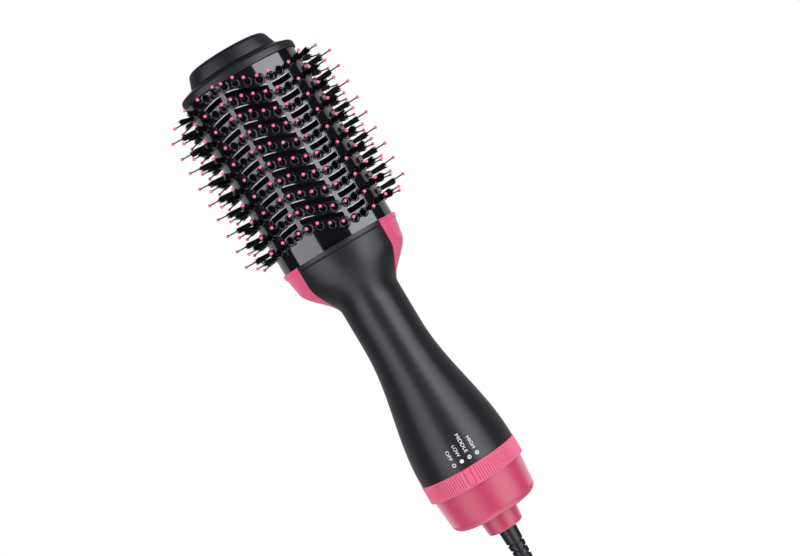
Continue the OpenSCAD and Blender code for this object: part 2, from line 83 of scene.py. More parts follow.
BOOT_R = box_mm("cord_boot")[1][0]

# -------------------- sizes in millimetres and degrees

# handle and neck
BASE_R = 30.2
WAIST_R = 18.65
WAIST_Z = 190.0
SHELL_WALL = 2.0
NECK_Z = (214.5, 238.0)       # where the neck widens
NECK_LIP = 2.35               # how much it still widens above that
PANEL_Z = (213.0, 237.0)      # where the black panel widens
PANEL_HALF_W = 26.7
DEEP_Z = (208.0, 246.0)       # where the neck deepens
SEAM = 0.15
WING_PROUD = 0.12
WING_LIP = 0.35               # how much further the wing's top edge stands out
WING_LIP_DROP = 3.1           # below the rim
WING_LIP_GROOVE = 0.12
RIM_GROOVE_DEPTH = 0.55
RIM_GROOVE_DROP = 2.9         # below the rim
RIM_GROOVE_W = 0.33
EDGE_ROUND = 0.35
SOFT_EDGE_ROUND = 0.55

# barrel
BARREL_WALL = 1.6
ROW_COUNT = 10
ROW_PITCH = 10.4
ROW_Z0 = 261.8
SIDE_RISE = 4.15              # of the column at the barrel's side
WAVE_RISE = 4.0
WAVE_MID = 1.6                # where the wave crosses its middle height
WAVE_TURN = 14.6              # from there to its crest
SLOT_H = 3.3
SLOT_X = (11.9, 14.6, 25.8)   # end of the middle slot, and both ends of the side slot
SLOT_CORNER = 0.75
BEAD_R = 0.38
BEAD_POINTS = 24

# sockets, pins and bristles
PLACES = 8                    # columns from the centre to the side
NO_PIN_PLACE = 3              # this column has tufts only
FIRST_TUFT_PLACE = 3
FAN_POWER = 5.4               # how late the pins turn outwards from the front to the side
SOCKET_R = (2.1, 2.8, 2.4, 2.4, 2.1, 2.1, 2.1, 2.1)
SOCKET_SKIRT = (0.35, 1.1, 0.6, 0.6, 0.6, 0.6, 0.6, 0.6)
SOCKET_BORE = 1.5
SOCKET_H = 1.5
SOCKET_LIP = 0.42
PIN_LEN = 17.0
PIN_TIP_R = 0.40
PIN_JITTER = 0.035
BALL_R = 1.0
TUFT_LEN = 11.0
TUFT_R = 1.15
TUFT_SPREAD = 1.8
TUFT_BRISTLES = 76
BRISTLE_R = (0.18, 0.125)     # at the root and at the tip
GOLDEN_ANGLE = 2.39996

# tip
TIP_GAP = 0.1
RING_UPRIGHT = 4.6            # height of the ring's edge below its sloping top
SKIRT_WALL = 1.6
SKIRT_DROP = 6.0
CAP_TOP_A = 24.9
CAP_WALL = 2.0
PLUG_A = (24.3, 24.1)         # half width of the ring's hole and of the cap's plug
PLUG_H = 4.0

# dial and the settings printed above it
MARK_DEG = -5.3
STEP_DEG = 9.5
RIBS = 120
RIB_DEPTH = 0.5
DIAL_EDGE = 0.55
DIAL_BORE_R = 27.65
PLAIN_DEG = 8.0               # half width of the stretch without ribs
MARK_RISE = 1.3               # above the dial's lower edge
MARK_HALF_W = 1.85
MARK_CORNER = 1.3
MARK_GROOVE = 0.42
MARK_PROUD = 0.30
LUG = ((-1.5, 20.6, 98.0), (1.5, 28.2, 101.0))
SETTINGS = (("OFF", 6.0), ("LOW", 7.0), ("MIDDLE", 11.6), ("HIGH", 7.4))  # words and their lengths
LETTER_H = 2.0
PRINT_PROUD = 0.04
PRINT_SHIFT_DEG = 1.3         # of the words and dots from the dial's own positions
DOT_RISE = 4.4                # above the handle's lower edge
WORD_RISE = 3.1               # above the dot
DOT_R = (0.32, 0.72, 1.15)    # centre point, and both edges of the ring

# cord end
HUB_Z = 80.0
HUB_R = 9.0
HUB_GROOVE_R = 8.2
POST_R = 4.0
POST_H = 11.0
CORD_BORE_R = 3.05
RELIEF_GROOVES = 6
RELIEF_SMOOTH = 8.7           # length without grooves, below the boot
RELIEF_TAPER = 1.6

# how far the pins of each column lean towards the tip and towards +X, by side and then by place
LEAN_UP = {-1: (0.05, -0.02, 0.03, 0, 0.09, 0.12, -0.08, 0.05),
           1: (0.03, 0.035, 0.015, 0, -0.09, 0.05, -0.055, 0.05)}
LEAN_X = {-1: (0, 0, 0.055, 0, 0.14, 0.09, 0, 0),
          1: (0, 0, 0, 0, 0, 0.05, 0.11, 0)}


# -------------------- small maths

def clamp01(u):
    return np.clip(u, 0.0, 1.0)


def smooth(u):
    c = clamp01(u)
    return c * c * (3 - 2 * c)


def flare_r(z):
    """The handle's radius at a height, as if it had no neck."""
    s = np.sin(PI / 2 * clamp01((WAIST_Z - z) / (WAIST_Z - BASE_Z)))
    return WAIST_R + (BASE_R - WAIST_R) * s * s


def half_w(z):
    """Half the width of the handle and neck."""
    steep = (RIM_HALF_W - WAIST_R - NECK_LIP) * smooth((z - NECK_Z[0]) / (NECK_Z[1] - NECK_Z[0]))
    return flare_r(z) + steep + NECK_LIP * clamp01((z - NECK_Z[1]) / (RIM_Z - NECK_Z[1]))


def half_d(z):
    """Half the depth of the handle and neck."""
    return flare_r(z) + (RIM_HALF_D - WAIST_R) * smooth((z - DEEP_Z[0]) / (DEEP_Z[1] - DEEP_Z[0]))


def panel_x(z):
    """Half the width of the black panel between the two wings."""
    return flare_r(z) + (PANEL_HALF_W - WAIST_R) * smooth((z - PANEL_Z[0]) / (PANEL_Z[1] - PANEL_Z[0]))


def edge_t(z):
    """The angle at which the black panel ends."""
    return np.arcsin(np.minimum(1.0, panel_x(z) / half_w(z)))


# arc length round the barrel's oval, from the front centre to the side
ARC_T = np.linspace(0, PI / 2, 721)
ARC_MID = (ARC_T[1:] + ARC_T[:-1]) / 2
ARC_STEP = np.hypot(BARREL_A * np.cos(ARC_MID), BARREL_B * np.sin(ARC_MID)) * (ARC_T[1] - ARC_T[0])
ARC_S = np.concatenate([[0], np.cumsum(ARC_STEP)])
QUARTER = ARC_S[-1]


def s_to_t(s):
    return np.interp(s, ARC_S, ARC_T)


def x_to_s(x):
    return np.sign(x) * np.interp(np.abs(x), BARREL_A * np.sin(ARC_T), ARC_S)


def wave(s):
    """How far a row of sockets or slots rises, at a distance round the barrel from the front centre."""
    u = np.abs(s - WAVE_MID)
    near = np.sin(PI / 2 * np.minimum(1, u / WAVE_TURN))
    far = (1 + np.cos(PI * clamp01((u - WAVE_TURN) / (QUARTER - WAVE_TURN)))) / 2
    return -np.sign(s - WAVE_MID) * WAVE_RISE * np.where(u < WAVE_TURN, near, far)


# -------------------- mesh helpers

def make_object(name, verts, faces, body, material, stands_for=(), sharp=None):
    """A mesh piece from millimetre points, riding on a body."""
    mesh = bpy.data.meshes.new(name)
    mesh.from_pydata((np.asarray(verts, float) * MM).tolist(), [], [list(f) for f in faces])
    work = bmesh.new()
    work.from_mesh(mesh)
    bmesh.ops.remove_doubles(work, verts=work.verts, dist=1e-7)
    bmesh.ops.recalc_face_normals(work, faces=work.faces)
    work.to_mesh(mesh)
    work.free()
    mesh.polygons.foreach_set("use_smooth", [True] * len(mesh.polygons))
    if sharp is not None:
        mesh.set_sharp_from_angle(angle=math.radians(sharp))
    mesh.materials.append(material)
    obj = bpy.data.objects.new(name, mesh)
    bpy.context.scene.collection.objects.link(obj)
    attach(obj, body)
    if stands_for:
        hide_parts(*stands_for)
    return obj


def add_bevel(obj, width):
    """Rounds the edges that are sharper than 50 degrees."""
    mod = obj.modifiers.new("round_edges", "BEVEL")
    mod.width = width * MM
    mod.segments = 3
    mod.limit_method = "ANGLE"
    mod.angle_limit = math.radians(50)
    mod.harden_normals = True


def grid_quads(rows, cols, closed, start=0, keep=None):
    """Quads of a grid of points whose rows run up. keep is a mask of the cells that stay."""
    out = []
    last = cols if closed else cols - 1
    for r in range(rows - 1):
        for c in range(last):
            if keep is not None and not keep[r][c]:
                continue
            d = (c + 1) % cols
            out.append((start + r * cols + c, start + r * cols + d,
                        start + (r + 1) * cols + d, start + (r + 1) * cols + c))
    return out


def closed_shell(outer, inner):
    """Points and faces of a solid between two open grids."""
    rows, cols = outer.shape[:2]
    n = rows * cols
    verts = np.concatenate([outer.reshape(-1, 3), inner.reshape(-1, 3)])
    faces = grid_quads(rows, cols, False) + grid_quads(rows, cols, False, n)
    rim = list(range(cols))
    rim += [r * cols + cols - 1 for r in range(1, rows)]
    rim += [(rows - 1) * cols + c for c in range(cols - 2, -1, -1)]
    rim += [r * cols for r in range(rows - 2, 0, -1)]
    for i, p in enumerate(rim):
        q = rim[(i + 1) % len(rim)]
        faces.append((p, q, q + n, p + n))
    return verts, faces


def fillet(points, radius, steps=4):
    """Rounds every corner of an outline. A corner may carry its own radius as a third number."""
    pts = [np.array(p[:2], float) for p in points]
    radii = [p[2] if len(p) > 2 else radius for p in points]
    n = len(pts)
    out = []
    for i in range(n):
        before = pts[i - 1] - pts[i]
        after = pts[(i + 1) % n] - pts[i]
        cut = min(radii[i], 0.45 * np.linalg.norm(before), 0.45 * np.linalg.norm(after))
        if cut < 1e-4:
            out.append(pts[i])
            continue
        start = pts[i] + before / np.linalg.norm(before) * cut
        end = pts[i] + after / np.linalg.norm(after) * cut
        for k in range(steps + 1):
            u = k / steps
            out.append((1 - u) ** 2 * start + 2 * u * (1 - u) * pts[i] + u * u * end)
    return out


def lathe(profile, segments=128, squash=1.0):
    """Points and faces of a turned profile of (radius, height) pairs."""
    prof = np.array([[max(0.0, p[0]), p[1]] for p in profile])
    ang = np.linspace(0, 2 * PI, segments, endpoint=False)
    r = prof[:, 0][:, None]
    verts = np.stack([r * np.sin(ang), -squash * r * np.cos(ang),
                      np.repeat(prof[:, 1][:, None], segments, 1)], -1)
    verts = np.concatenate([verts, verts[:1]])
    faces = grid_quads(len(verts), segments, True)
    return verts.reshape(-1, 3), faces


def turned_piece(name, profile, body, material, stands_for, squash=1.0, segments=128):
    verts, faces = lathe(profile, segments, squash)
    return make_object(name, verts, drop_flat(verts, faces), body, material, stands_for, 42)


def drop_flat(verts, faces):
    """Leaves out faces that have shrunk to a line on the axis."""
    out = []
    for f in faces:
        pts = verts[list(f)]
        if np.hypot(pts[:, 0], pts[:, 1]).max() > 1e-6:
            out.append(f)
    return out


def stack(parts):
    """Joins (points, faces) pairs into one."""
    verts, faces, base = [], [], 0
    for v, f in parts:
        verts.append(v)
        faces += [tuple(i + base for i in face) for face in f]
        base += len(v)
    return np.concatenate(verts), faces


# -------------------- materials

COAT_ROUGH = 0.05
RIM_SPECULAR = 0.12
SOFT_RADIUS = (1.0, 0.4, 0.45)   # how far red, green and blue travel in a soft pink plastic
SOFT_DEPTH = 1.2                 # mm
# painted shade: the darker pink at the bottom of the dial's grooves
GROOVE_SHADE_PINK = (0.46, 0.040, 0.100)


def new_material(name):
    mat = bpy.data.materials.new(name)
    mat.use_nodes = True
    return mat, mat.node_tree.nodes, mat.node_tree.links


def noise_node(nodes, links, vector, scale, detail=2.0):
    tex = nodes.new("ShaderNodeTexNoise")
    tex.inputs["Scale"].default_value = scale
    tex.inputs["Detail"].default_value = detail
    links.new(vector, tex.inputs["Vector"])
    return tex.outputs["Fac"]


def map_value(nodes, links, value, low, high, from_low=0.3, from_high=0.7):
    """Maps from_low to from_high onto low to high, and holds what lies outside."""
    node = nodes.new("ShaderNodeMapRange")
    node.inputs["From Min"].default_value = from_low
    node.inputs["From Max"].default_value = from_high
    node.inputs["To Min"].default_value = low
    node.inputs["To Max"].default_value = high
    links.new(value, node.inputs["Value"])
    return node.outputs["Result"]


def math_node(nodes, links, operation, first, second):
    node = nodes.new("ShaderNodeMath")
    node.operation = operation
    links.new(first, node.inputs[0])
    links.new(second, node.inputs[1])
    return node


def vector_node(nodes, links, operation, vector):
    node = nodes.new("ShaderNodeVectorMath")
    node.operation = operation
    links.new(vector, node.inputs[0])
    return node


def mix_colour(nodes, links, factor, first, second):
    """Mixes two colours, each of which is a tuple or another node's output."""
    node = nodes.new("ShaderNodeMix")
    node.data_type = "RGBA"
    links.new(factor, node.inputs[0])
    for socket, colour in ((node.inputs[6], first), (node.inputs[7], second)):
        if isinstance(colour, tuple):
            socket.default_value = (*colour, 1)
        else:
            links.new(colour, socket)
    return node.outputs[2]


def facing(nodes):
    """0 where a surface faces the eye, and 1 at its outline."""
    node = nodes.new("ShaderNodeLayerWeight")
    node.inputs["Blend"].default_value = 0.5
    return node.outputs["Facing"]


def with_pale_rim(nodes, links, shade, colour):
    """Turns a shade towards a paler colour at its outline, but not where the surface faces down: painted
    sheen.
    """
    normal = nodes.new("ShaderNodeSeparateXYZ")
    links.new(nodes.new("ShaderNodeNewGeometry").outputs["Normal"], normal.inputs[0])
    upright = map_value(nodes, links, normal.outputs["Z"], 0, 1, -0.35, -0.10)
    edge = map_value(nodes, links, facing(nodes), 0, 1, 0.45, 1.0)
    both = math_node(nodes, links, "MULTIPLY", upright, edge)
    return mix_colour(nodes, links, both.outputs[0], shade, colour)


def finish_material(name, colour, rough, spread=0.04, tone=0.12, grain=0.4, bump=0.05, patch=18.0,
                    metal=0.0, coat=0.0, soft=0.0, stretch=(1, 1, 1), specular=0.5, islands=False,
                    dull_rim=None, pale_rim=None):
    """Moulded, drawn or cast finish: fine grain and broad tone patches in mm, and uneven gloss.

    dull_rim is where, from facing to outline, the surface loses its shine. The last argument is a painted
    sheen:
    the colour that the surface takes at its outline.
    """
    mat, nodes, links = new_material(name)
    bsdf = nodes["Principled BSDF"]
    coords = nodes.new("ShaderNodeTexCoord")
    mapping = nodes.new("ShaderNodeMapping")
    mapping.inputs["Scale"].default_value = stretch
    links.new(coords.outputs["Object"], mapping.inputs["Vector"])
    vector = mapping.outputs["Vector"]
    fine = noise_node(nodes, links, vector, 1.0 / (grain * MM), 3.0)
    dark = tuple(c * (1 - tone) for c in colour)
    light = tuple(min(1.0, c * (1 + tone)) for c in colour)
    if islands:
        each = nodes.new("ShaderNodeNewGeometry").outputs["Random Per Island"]
        factor = map_value(nodes, links, each, 0, 1, 0.0, 1.0)
    else:
        broad = noise_node(nodes, links, vector, 1.0 / (patch * MM), 3.0)
        factor = map_value(nodes, links, broad, 0, 1, 0.35, 0.65)
    shade = mix_colour(nodes, links, factor, dark, light)
    # painted sheen: a paler colour towards the outline, where the surface does not face down
    if pale_rim:
        shade = with_pale_rim(nodes, links, shade, pale_rim)
    links.new(shade, bsdf.inputs["Base Color"])
    gloss = map_value(nodes, links, fine, max(0.02, rough - spread), rough + spread)
    links.new(gloss, bsdf.inputs["Roughness"])
    bump_node = nodes.new("ShaderNodeBump")
    bump_node.inputs["Strength"].default_value = 1.0
    bump_node.inputs["Distance"].default_value = bump * MM
    links.new(fine, bump_node.inputs["Height"])
    links.new(bump_node.outputs["Normal"], bsdf.inputs["Normal"])
    bsdf.inputs["Metallic"].default_value = metal
    bsdf.inputs["Coat Weight"].default_value = coat
    bsdf.inputs["Coat Roughness"].default_value = COAT_ROUGH
    bsdf.inputs["Specular IOR Level"].default_value = specular
    if dull_rim:
        level = map_value(nodes, links, facing(nodes), specular, RIM_SPECULAR, *dull_rim)
        links.new(level, bsdf.inputs["Specular IOR Level"])
    if soft:
        bsdf.inputs["Subsurface Weight"].default_value = soft
        bsdf.inputs["Subsurface Radius"].default_value = SOFT_RADIUS
        bsdf.inputs["Subsurface Scale"].default_value = SOFT_DEPTH * MM
    return mat


def wound_material(name, colour, turn, rough):
    """Metal with turns of fine wire, turn millimetres apart, with painted shade between the turns."""
    mat = finish_material(name, colour, rough, metal=1.0, grain=0.3, bump=0.02)
    nodes, links = mat.node_tree.nodes, mat.node_tree.links
    bsdf = nodes["Principled BSDF"]
    wires = nodes.new("ShaderNodeTexWave")
    wires.bands_direction = "Z"
    wires.inputs["Scale"].default_value = 1.0 / (turn * MM) / 2
    wires.inputs["Distortion"].default_value = 0.6
    coords = [n for n in nodes if n.type == "TEX_COORD"][0]
    links.new(coords.outputs["Object"], wires.inputs["Vector"])
    bump = [n for n in nodes if n.type == "BUMP"][0]
    bump.inputs["Distance"].default_value = 0.15 * MM
    links.new(wires.outputs["Fac"], bump.inputs["Height"])
    # darker where the bump dips between the turns: painted shade between the wires
    shade = mix_colour(nodes, links, wires.outputs["Fac"], tuple(c * 0.45 for c in colour), colour)
    links.new(shade, bsdf.inputs["Base Color"])
    return mat


def paint_groove_shade(mat, radius, depth):
    """Darkens what lies inside a radius round the Z axis, fully so at a depth below it: painted shade at the
    bottom of a groove.
    """
    nodes, links = mat.node_tree.nodes, mat.node_tree.links
    base = nodes["Principled BSDF"].inputs["Base Color"]
    shade = base.links[0].from_socket
    coords = [n for n in nodes if n.type == "TEX_COORD"][0]
    flat = vector_node(nodes, links, "MULTIPLY", coords.outputs["Object"])
    flat.inputs[1].default_value = (1, 1, 0)
    length = vector_node(nodes, links, "LENGTH", flat.outputs["Vector"])
    low = (radius - depth) * MM
    factor = map_value(nodes, links, length.outputs["Value"], 1.0, 0.0, low, radius * MM)
    links.new(mix_colour(nodes, links, factor, shade, GROOVE_SHADE_PINK), base)


def build_materials():
    m = {}

    def add(name, *values, **options):
        m[name] = finish_material(name, *values, **options)

    add("satin_black", (0.0145, 0.0142, 0.0165), 0.31, grain=0.35, bump=0.010, patch=30, specular=0.54,
        dull_rim=(0.06, 0.22))
    add("cap_black", (0.007, 0.008, 0.011), 0.38, grain=0.45, bump=0.030, patch=20, specular=0.55,
        dull_rim=(0.25, 0.60))
    add("gloss_black", (0.006, 0.006, 0.008), 0.09, spread=0.02, grain=4.0, bump=0.004, patch=30, coat=1.0,
        specular=0.9)
    # pale, half metal beads: their pale colour is a painted highlight along the slots' upper edges
    add("highlight_bead", (0.74, 0.74, 0.79), 0.28, spread=0.05, grain=0.6, bump=0.004, metal=0.5, tone=0.1)
    add("nylon_black", (0.010, 0.010, 0.012), 0.34, grain=0.3, bump=0.01, islands=True, tone=0.4,
        specular=0.3, dull_rim=(0.15, 0.60))
    add("bristle_black", (0.008, 0.008, 0.009), 0.5, grain=0.2, bump=0.005, islands=True, tone=0.8,
        specular=0.15)
    # the pinks' rim colours are painted sheen at their outlines
    add("pink_satin", (0.45, 0.026, 0.090), 0.42, grain=0.4, bump=0.008, patch=40, tone=0.04, soft=0.2,
        specular=0.85, pale_rim=(0.80, 0.38, 0.50))
    add("pink_wing", (0.57, 0.056, 0.152), 0.46, grain=0.4, bump=0.008, patch=40, tone=0.04, soft=0.2,
        specular=0.7, pale_rim=(0.64, 0.20, 0.32))
    add("pink_dial", (0.68, 0.095, 0.200), 0.42, grain=0.4, bump=0.008, patch=40, tone=0.04, soft=0.1,
        specular=0.8)
    # painted shade in the dial's grip grooves
    paint_groove_shade(m["pink_dial"], DIAL_R - 0.12, RIB_DEPTH)
    add("pink_gloss", (0.80, 0.130, 0.33), 0.20, grain=0.5, bump=0.006, tone=0.10, soft=0.3, coat=0.3,
        islands=True)
    add("rubber_black", (0.007, 0.007, 0.008), 0.36, grain=0.3, bump=0.02, patch=12, specular=0.5,
        dull_rim=(0.10, 0.50))
    add("steel", (0.56, 0.56, 0.58), 0.28, metal=1.0, grain=0.5, bump=0.01, stretch=(1, 1, 0.08))
    add("brass", (0.72, 0.50, 0.20), 0.25, metal=1.0, grain=0.4, bump=0.01, stretch=(1, 1, 0.1))
    m["copper"] = wound_material("copper", (0.70, 0.32, 0.15), 0.5, 0.3)
    add("nichrome", (0.34, 0.31, 0.29), 0.35, metal=1.0, grain=0.6, bump=0.01, tone=0.35, patch=5)
    add("magnet", (0.07, 0.07, 0.075), 0.6, grain=0.5, bump=0.05, tone=0.3, patch=2)
    add("mica", (0.52, 0.45, 0.32), 0.35, grain=1.2, bump=0.04, tone=0.35, patch=3, stretch=(1, 1, 0.5))
    add("board_green", (0.03, 0.17, 0.07), 0.22, grain=0.9, bump=0.02, tone=0.25, patch=4, coat=0.5)
    add("switch_plastic", (0.05, 0.05, 0.055), 0.5, grain=0.4, bump=0.02)
    add("white_plastic", (0.70, 0.70, 0.66), 0.45, grain=0.5, bump=0.02, tone=0.05, soft=0.1)
    add("print_white", (0.75, 0.75, 0.75), 0.5, grain=0.2, bump=0.004, tone=0.04, patch=2)
    return m


def paint_cad_nodes(materials):
    """Every CAD node that stays gets the material of its slot in the record."""
    for row in frame["record"]["subparts"]:
        obj = NODES[row["node"]]
        obj.data.materials.clear()
        obj.data.materials.append(materials[row["material_slot"]])


# -------------------- handle and neck

def rim_groove(z):
    """Depth of the fine groove below the neck's rim."""
    return RIM_GROOVE_DEPTH * np.exp(-((z - (RIM_Z - RIM_GROOVE_DROP)) / RIM_GROOVE_W) ** 2)


def shell_rows():
    """Heights of the shell's rows of points, close together near the rim."""
    return np.concatenate([
        np.linspace(BASE_Z, NECK_Z[0], 46), np.linspace(NECK_Z[0], RIM_Z - 4.2, 40)[1:],
        np.linspace(RIM_Z - 4.2, RIM_Z, 22)[1:]])


def oval_grid(zs, edges, cols, inset, face):
    """Points of the neck's section from angle -edge to +edge, for each height."""
    u = np.linspace(-1, 1, cols)
    t = edges[:, None] * u[None, :]
    w = (half_w(zs) - inset)[:, None]
    d = (half_d(zs) - inset)[:, None]
    return np.stack([w * np.sin(t), -face * d * np.cos(t), np.repeat(zs[:, None], cols, 1)], -1)


def build_handle_shell(name, face, materials):
    zs = shell_rows()
    edges = edge_t(zs) - SEAM / 2 / half_w(zs)
    cols = 61
    outer = oval_grid(zs, edges, cols, rim_groove(zs), face)
    inner = oval_grid(zs, edges, cols, np.full_like(zs, SHELL_WALL), face)
    verts, faces = closed_shell(outer, inner)
    obj = make_object(name, verts, faces, "handle", materials["satin_black"],
                      (name.replace("_skin", ""),))
    add_bevel(obj, EDGE_ROUND)


def build_wing(name, side, materials):
    """Pink side wing: fills the neck's section between the two black shells."""
    start = [z for z in np.linspace(205, 225, 401) if half_w(z) > panel_x(z) + 0.02][0]
    zs = np.concatenate([np.linspace(start, start + 4, 12), np.linspace(start + 4, RIM_Z - 4, 40)[1:],
                         np.linspace(RIM_Z - 4, RIM_Z, 18)[1:]])
    gap = SEAM / half_w(zs)
    edges = np.maximum(0.004, PI / 2 - edge_t(zs) - gap)
    cols = 33
    u = np.linspace(-1, 1, cols)
    t = PI / 2 + edges[:, None] * u[None, :]

    def points(inset):
        w = half_w(zs)[:, None] - inset
        d = half_d(zs)[:, None] - inset
        return np.stack([side * w * np.sin(t), -d * np.cos(t), np.repeat(zs[:, None], cols, 1)], -1)

    lip_z = RIM_Z - WING_LIP_DROP
    groove = WING_LIP_GROOVE * np.exp(-((zs - lip_z + 0.1) / 0.5) ** 2)
    lip = WING_LIP * smooth((zs - lip_z) / 0.5) - groove
    verts, faces = closed_shell(points((-WING_PROUD - lip)[:, None]), points(SHELL_WALL))
    obj = make_object(name, verts, faces, "handle", materials["pink_wing"],
                      (name.replace("_skin", ""),))
    add_bevel(obj, SOFT_EDGE_ROUND)


# -------------------- setting marks

def surface_point(angle, z, proud):
    """A point on the handle's lower part."""
    r = flare_r(z) + proud
    return np.stack([r * np.sin(angle), -r * np.cos(angle), z + 0 * angle], -1)


def label_mesh(word, height):
    """Flat mesh of a word, as points (along, up) in mm and faces."""
    curve = bpy.data.curves.new("word", "FONT")
    curve.body = word
    curve.size = 1.0
    temp = bpy.data.objects.new("word", curve)
    bpy.context.scene.collection.objects.link(temp)
    bpy.context.view_layer.update()
    mesh = bpy.data.meshes.new_from_object(temp.evaluated_get(bpy.context.evaluated_depsgraph_get()))
    work = bmesh.new()
    work.from_mesh(mesh)
    bmesh.ops.triangulate(work, faces=work.faces)
    pts = np.array([v.co[:2] for v in work.verts])
    work.verts.index_update()
    faces = [tuple(v.index for v in f.verts) for f in work.faces]
    work.free()
    bpy.data.objects.remove(temp)
    bpy.data.curves.remove(curve)
    bpy.data.meshes.remove(mesh)
    low, high = pts.min(0), pts.max(0)
    return (pts - low) * height / (high[1] - low[1]), faces


def build_setting_marks(materials):
    """A dot and a word for each position of the dial, printed just above it."""
    point_r, ring_in, ring_out = DOT_R
    dot_z = BASE_Z + DOT_RISE
    word_z = dot_z + WORD_RISE
    for i, (word, length) in enumerate(SETTINGS):
        centre = math.radians(MARK_DEG + PRINT_SHIFT_DEG + STEP_DEG * (i - 1))
        pts, faces = label_mesh(word, LETTER_H)
        along_word = pts[:, 0] * length / pts[:, 0].max()
        z = word_z + length - along_word
        angle = centre + (pts[:, 1] - LETTER_H / 2) / flare_r(z)
        make_object("setting_word_" + word.lower(), surface_point(angle, z, PRINT_PROUD), faces, "handle",
                    materials["print_white"])
        parts = [ring_patch(centre, dot_z, ring_in, ring_out)]
        if word == "LOW":
            parts.append(ring_patch(centre, dot_z, 0.0, ring_in))
        elif word != "OFF":
            parts.append(ring_patch(centre, dot_z, 0.0, point_r))
        verts, faces = stack(parts)
        make_object("setting_dot_" + word.lower(), verts, faces, "handle", materials["print_white"])


def ring_patch(angle, z, inner, outer):
    """A flat ring on the handle's surface."""
    n = 28
    a = np.linspace(0, 2 * PI, n, endpoint=False)
    rows = []
    for r in np.linspace(inner, outer, 3):
        zz = z + r * np.sin(a)
        rows.append(surface_point(angle + r * np.cos(a) / flare_r(zz), zz, PRINT_PROUD))
    verts = np.concatenate(rows)
    return verts, drop_same(verts, grid_quads(3, n, True))


def drop_same(verts, faces):
    """Leaves out faces with no area."""
    out = []
    for f in faces:
        p = verts[list(f)]
        if np.linalg.norm(np.cross(p[2] - p[0], p[3] - p[1])) > 1e-9:
            out.append(f)
    return out


# -------------------- barrel

def barrel_columns():
    """Angles round the oval, with one at every slot edge."""
    marks = sorted(math.asin(x / BARREL_A) for x in SLOT_X)
    stops = [0.0] + marks + [PI / 2]
    quarter = []
    for a, b in zip(stops[:-1], stops[1:]):
        near = [a + math.radians(e) for e in (0.0, 0.3, 0.7, 1.3)]
        near_b = [b - math.radians(e) for e in (1.3, 0.7, 0.3)]
        n = max(2, int(math.ceil((near_b[0] - near[-1]) / 0.030)))
        quarter += near[:-1] + list(np.linspace(near[-1], near_b[0], n, endpoint=False)) + near_b
    quarter = np.array(quarter)
    half = np.concatenate([quarter, [PI / 2], PI - quarter[::-1][:-1]])
    return np.concatenate([half, [PI], -half[::-1][:-1]])


def slot_corner(x):
    """How much a slot's edge closes at the slot's ends, for rounded corners."""
    inner, near, far = SLOT_X
    out = np.zeros_like(x)
    for stop, way in ((inner, -1.0), (near, 1.0), (far, -1.0)):
        d = clamp01(1 - way * (x - stop) / SLOT_CORNER)
        inside = (way * (x - stop) >= -1e-6) & (d > 0)
        closes = SLOT_CORNER * (1 - np.sqrt(np.maximum(0, 1 - d * d)))
        out = np.maximum(out, np.where(inside, closes, 0))
    return out


def build_barrel(materials):
    """An oval tube whose rows of points follow the wave, with the slots' cells left open."""
    t = barrel_columns()
    x = BARREL_A * np.sin(t)
    y = -BARREL_B * np.cos(t)
    lift = wave(x_to_s(x))
    centres = [ROW_Z0 + (i + 0.5) * ROW_PITCH for i in range(ROW_COUNT - 1)]
    # each level has a height, its share of the wave, and whether the cells above it hold a slot
    levels = [(RIM_Z, 0.0, False), (RIM_Z + 2.5, 0.15, False)]
    for c in centres:
        levels.append((c - SLOT_H / 2, 1.0, True))
        levels.append((c + SLOT_H / 2, 1.0, False))
    levels += [(FLANGE_Z - 2.0, 0.12, False), (FLANGE_Z, 0.0, False)]
    outer = np.array([[(x[j], y[j], z + f * lift[j]) for j in range(len(t))] for z, f, _ in levels])
    for i in range(len(centres)):
        for row, sign in ((2 + 2 * i, 1.0), (3 + 2 * i, -1.0)):
            outer[row, :, 2] += sign * slot_corner(np.abs(x))
    shrink = np.array([(BARREL_A - BARREL_WALL) / BARREL_A, (BARREL_B - BARREL_WALL) / BARREL_B, 1.0])
    inner = outer * shrink
    n = len(t)
    side_x = np.abs((x + np.roll(x, -1)) / 2)
    in_slot = (side_x < SLOT_X[0]) | ((side_x > SLOT_X[1]) & (side_x < SLOT_X[2]))
    keep = [[not (levels[r][2] and in_slot[c]) for c in range(n)] for r in range(len(levels) - 1)]
    verts = np.concatenate([outer.reshape(-1, 3), inner.reshape(-1, 3)])
    base = outer.shape[0] * n
    faces = grid_quads(len(levels), n, True, 0, keep) + grid_quads(len(levels), n, True, base, keep)
    faces += boundary_walls(keep, len(levels), n, base)
    obj = make_object("barrel_skin", verts, faces, "handle", materials["gloss_black"],
                      ("barrel_shell",))
    add_bevel(obj, SOFT_EDGE_ROUND)


def build_slot_beads(materials):
    """A fine raised bead along the upper edge of every side slot and of both ends of every middle slot; its
    pale colour is a painted highlight on those edges.
    """
    inner, near, far = SLOT_X
    stretches = [(-far - 1.2, -near + 0.3), (-inner, -3.0), (inner - 2.6, inner), (near - 0.3, far + 1.2)]
    parts = []
    for i in range(ROW_COUNT - 1):
        z0 = ROW_Z0 + (i + 0.5) * ROW_PITCH + SLOT_H / 2
        for face in (-1, 1):
            for x0, x1 in stretches:
                parts.append(highlight_bead(x0, x1, z0 + 0.15, face))
    verts, faces = stack(parts)
    make_object("slot_highlight_beads", verts, faces, "handle", materials["highlight_bead"])


